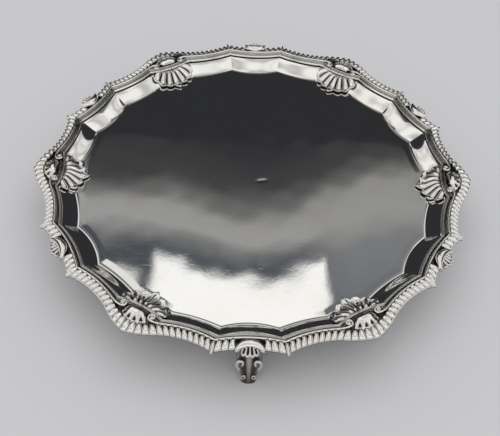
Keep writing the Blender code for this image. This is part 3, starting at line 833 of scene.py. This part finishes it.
def scrim_material():
    """White in front, a white tongue that reaches back, and grey tones behind that fade into the dark."""
    material = bpy.data.materials.new("scrim_glow")
    material.use_nodes = True
    tree = material.node_tree
    nodes, links = tree.nodes, tree.links
    nodes.clear()
    place = nodes.new("ShaderNodeTexCoord").outputs["Object"]
    ripple = nodes.new("ShaderNodeTexNoise")
    ripple.inputs["Scale"].default_value = 24.0
    ripple.inputs["Detail"].default_value = 4.0
    links.new(place, ripple.inputs["Vector"])
    split = nodes.new("ShaderNodeSeparateXYZ")
    links.new(place, split.inputs[0])

    def wavy(coordinate, channel):
        """The coordinate moved a little by the ripple, for ragged edges."""
        shift = nodes.new("ShaderNodeMath")
        shift.operation = "MULTIPLY_ADD"
        links.new(channels.outputs[channel], shift.inputs[0])
        shift.inputs[1].default_value = SCRIM_RIPPLE
        links.new(coordinate, shift.inputs[2])
        centred = nodes.new("ShaderNodeMath")
        centred.operation = "SUBTRACT"
        links.new(shift.outputs[0], centred.inputs[0])
        centred.inputs[1].default_value = SCRIM_RIPPLE / 2
        return centred.outputs[0]

    channels = nodes.new("ShaderNodeSeparateColor")
    links.new(ripple.outputs["Color"], channels.inputs[0])
    x, y = wavy(split.outputs["X"], "Red"), wavy(split.outputs["Y"], "Green")

    def step(value, low, high, to_low, to_high):
        node = nodes.new("ShaderNodeMapRange")
        node.interpolation_type = "SMOOTHSTEP"
        for key, number in (("From Min", low), ("From Max", high), ("To Min", to_low), ("To Max", to_high)):
            node.inputs[key].default_value = number
        links.new(value, node.inputs["Value"])
        return node.outputs["Result"]

    def maths(operation, a, b):
        node = nodes.new("ShaderNodeMath")
        node.operation = operation
        links.new(a, node.inputs[0])
        links.new(b, node.inputs[1])
        return node.outputs[0]

    def ramp(value, low, high, tones, curve="LINEAR"):
        """Colours by a value from low to high."""
        node = nodes.new("ShaderNodeValToRGB")
        node.color_ramp.interpolation = curve
        share = nodes.new("ShaderNodeMapRange")
        share.inputs["From Min"].default_value = low
        share.inputs["From Max"].default_value = high
        links.new(value, share.inputs["Value"])
        links.new(share.outputs["Result"], node.inputs["Fac"])
        stops = node.color_ramp.elements
        while len(stops) < len(tones):
            stops.new(0.5)
        for stop, (distance, colour) in zip(stops, tones):
            stop.position = (distance - low) / (high - low)
            stop.color = (*colour, 1)
        return node.outputs["Color"]

    def blend(factor, a, b):
        node = nodes.new("ShaderNodeMix")
        node.data_type = "RGBA"
        links.new(factor, node.inputs[0])
        for socket, value in ((node.inputs[6], a), (node.inputs[7], b)):
            if isinstance(value, tuple):
                socket.default_value = (*value, 1)
            else:
                links.new(value, socket)
        return node.outputs[2]

    def patch(left, right, back):
        """1 between left and right, up to the sagging line back."""
        sides = maths("MULTIPLY", step(x, left - PATCH_EDGE, left + PATCH_EDGE, 0, 1),
                      step(x, right - PATCH_EDGE, right + PATCH_EDGE, 1, 0))
        return maths("MULTIPLY", sides, step(y_sagged, back - PATCH_EDGE, back + PATCH_EDGE, 1, 0))

    sag = ramp(x, -SAG_HALF, SAG_HALF, [(across, (behind / SAG_MOST,) * 3) for across, behind in SAG], "EASE")
    sagging = nodes.new("ShaderNodeMath")
    sagging.operation = "MULTIPLY_ADD"
    links.new(sag, sagging.inputs[0])
    sagging.inputs[1].default_value = -SAG_MOST
    links.new(y, sagging.inputs[2])
    y_sagged = sagging.outputs[0]
    in_middle = ramp(y_sagged, SCRIM_FRONT, SCRIM_BACK, MIDDLE_TONES)
    at_right = ramp(y_sagged, SCRIM_FRONT, SCRIM_BACK, RIGHT_TONES)
    tones = blend(step(x, MIDDLE_ENDS, RIGHT_STARTS, 0, 1), in_middle, at_right)
    for left, right, back, colour in PATCHES:
        tones = blend(patch(left, right, back), tones, colour)
    beside = maths("MAXIMUM", step(x, WING_RIGHT, WING_RIGHT + WING_BLEND, 0, 1),
                   step(x, WING_LEFT - WING_BLEND, WING_LEFT, 1, 0))
    in_front = step(y, SCRIM_FRONT - FRONT_BLEND, SCRIM_FRONT + FRONT_BLEND, 1, 0)
    clouds = nodes.new("ShaderNodeTexNoise")
    clouds.inputs["Scale"].default_value = 3.2
    clouds.inputs["Detail"].default_value = 1.0
    links.new(place, clouds.inputs["Vector"])
    white = blend(step(clouds.outputs["Fac"], 0.34, 0.62, 0, 1), *CLOUDS)
    tones = blend(maths("MAXIMUM", beside, in_front), tones, white)
    glow = nodes.new("ShaderNodeEmission")
    links.new(tones, glow.inputs["Color"])
    links.new(glow.outputs[0], nodes.new("ShaderNodeOutputMaterial").inputs["Surface"])
    return material


def make_scrim():
    """A level glowing sheet over the salver that shows only in the silver."""
    corners = [(-WING_END, SCRIM_END, 0), (WING_END, SCRIM_END, 0), (WING_END, SCRIM_BACK, 0),
               (-WING_END, SCRIM_BACK, 0)]
    mesh = bpy.data.meshes.new("scrim")
    mesh.from_pydata(corners, [], [(0, 1, 2, 3)])
    mesh.materials.append(scrim_material())
    scrim = bpy.data.objects.new("scrim", mesh)
    bpy.context.scene.collection.objects.link(scrim)
    scrim.location.z = PLATE_TOP + SCRIM_HEIGHT
    scrim.visible_camera = scrim.visible_diffuse = scrim.visible_shadow = False


def make_lights():
    make_scrim()
    for side in (-1, 1):
        softbox(f"low_box_{side}", centre=(side * 1.4, -0.9, 0.80), size=(1.0, 0.9), radiance=0.50)
    softbox("front_box", centre=(0.0, -1.6, 0.95), size=(1.9, 0.90), radiance=0.46)
    softbox("floor_fill", centre=(0, -0.3, 2.4), size=(3.2, 3.2), radiance=1.0, colour=(1, 1, 1),
            for_floor=True)


WORLD_DARK = (0.027, 0.028, 0.032, 1)
WORLD_PALE = (0.48, 0.48, 0.475, 1)
BACKDROP = (0.60, 0.60, 0.61, 1)
WORLD_BLEND = 0.30            # how far either side of sideways the dark passes into the pale


def make_world():
    """For the silver to reflect, dark behind and softly pale in front. The camera sees a pale backdrop, and
    the floor is lit by it."""
    world = bpy.data.worlds.new("studio")
    world.use_nodes = True
    bpy.context.scene.world = world
    tree = world.node_tree
    nodes, links = tree.nodes, tree.links
    split = nodes.new("ShaderNodeSeparateXYZ")
    links.new(nodes.new("ShaderNodeTexCoord").outputs["Generated"], split.inputs[0])
    front = nodes.new("ShaderNodeMapRange")
    front.interpolation_type = "SMOOTHSTEP"
    limits = (("From Min", -WORLD_BLEND), ("From Max", WORLD_BLEND), ("To Min", 1.0), ("To Max", 0.0))
    for key, number in limits:
        front.inputs[key].default_value = number
    links.new(split.outputs["Y"], front.inputs["Value"])
    tone = nodes.new("ShaderNodeMix")
    tone.data_type = "RGBA"
    tone.inputs[6].default_value, tone.inputs[7].default_value = WORLD_DARK, WORLD_PALE
    links.new(front.outputs["Result"], tone.inputs[0])
    reflected = nodes["Background"]
    links.new(tone.outputs[2], reflected.inputs["Color"])
    backdrop = nodes.new("ShaderNodeBackground")
    backdrop.inputs["Color"].default_value = BACKDROP
    path = nodes.new("ShaderNodeLightPath")
    seen = nodes.new("ShaderNodeMath")
    seen.operation = "MAXIMUM"
    links.new(path.outputs["Is Camera Ray"], seen.inputs[0])
    links.new(path.outputs["Is Diffuse Ray"], seen.inputs[1])
    mix = nodes.new("ShaderNodeMixShader")
    links.new(seen.outputs[0], mix.inputs["Fac"])
    links.new(reflected.outputs[0], mix.inputs[1])
    links.new(backdrop.outputs[0], mix.inputs[2])
    links.new(mix.outputs[0], nodes["World Output"].inputs["Surface"])


# Fitted to the photograph: elevation, azimuth and roll in degrees, lens in millimetres, and what the camera
# looks at and how far off it is, in shares of UNIT.
CAMERA_ANGLES = (48.55, -1.00, 2.43)
CAMERA_LENS = 60.3
CAMERA_TARGET = (-0.010, -0.243)
CAMERA_DISTANCE = 4.042


def make_camera():
    elevation, azimuth, roll = (math.radians(angle) for angle in CAMERA_ANGLES)
    data = bpy.data.cameras.new("camera")
    data.lens = CAMERA_LENS
    data.sensor_width = 36.0
    data.clip_start = 0.01
    camera = bpy.data.objects.new("camera", data)
    bpy.context.scene.collection.objects.link(camera)
    back = Vector((math.sin(azimuth) * math.cos(elevation), -math.cos(azimuth) * math.cos(elevation),
                   math.sin(elevation)))
    right = (-back).cross(Vector((0, 0, 1))).normalized()
    up = right.cross(-back)
    right, up = right * math.cos(roll) + up * math.sin(roll), up * math.cos(roll) - right * math.sin(roll)
    target = Vector((CAMERA_TARGET[0] * UNIT, CAMERA_TARGET[1] * UNIT, PLATE_TOP))
    place = target + back * CAMERA_DISTANCE * UNIT
    camera.matrix_world = Matrix.LocRotScale(place, Matrix((right, up, back)).transposed(), None)
    bpy.context.scene.camera = camera


def main():
    scene = bpy.context.scene
    scene.view_settings.view_transform = "Standard"
    scene.cycles.max_bounces = 12
    scene.cycles.glossy_bounces = 8
    make_camera()
    make_floor()
    make_lights()
    make_world()
    tray = silver("tray_silver", (0.93, 0.925, 0.905),
                  roughness=0.042, tarnish_and_shade=0.9, planish=0.0000045, scratches=0.7)
    border = silver("border_silver", (0.95, 0.94, 0.92),
                    roughness=0.11, tarnish_and_shade=1.0, planish=0.0000015, scratches=0.1)
    shell = silver("shell_silver", (0.95, 0.94, 0.92),
                   roughness=0.12, tarnish_and_shade=1.0, planish=0.0000025, scratches=0.1)
    # The feet are darkened almost all over by their recess values: painted shadow under the tray.
    cast = silver("foot_silver", (0.86, 0.84, 0.80),
                  roughness=0.16, tarnish_and_shade=0.97, planish=0.000020, scratches=0.5)
    make_tray(tray)
    place_round("moulding", moulding(), border, "border_silver")
    place_round("gadroon_edge", gadroons(), border, "border_silver")
    place_round("ear_shell", ear_shell(), shell, "shell_silver")
    place_round("inner_shell", inner_shell(), shell, "shell_silver")
    place_round("rim_shell", rim_shell(), shell, "shell_silver", LOBE_TURNS)
    place_round("foot", foot(), cast, "foot_silver", FOOT_TURNS)


main()
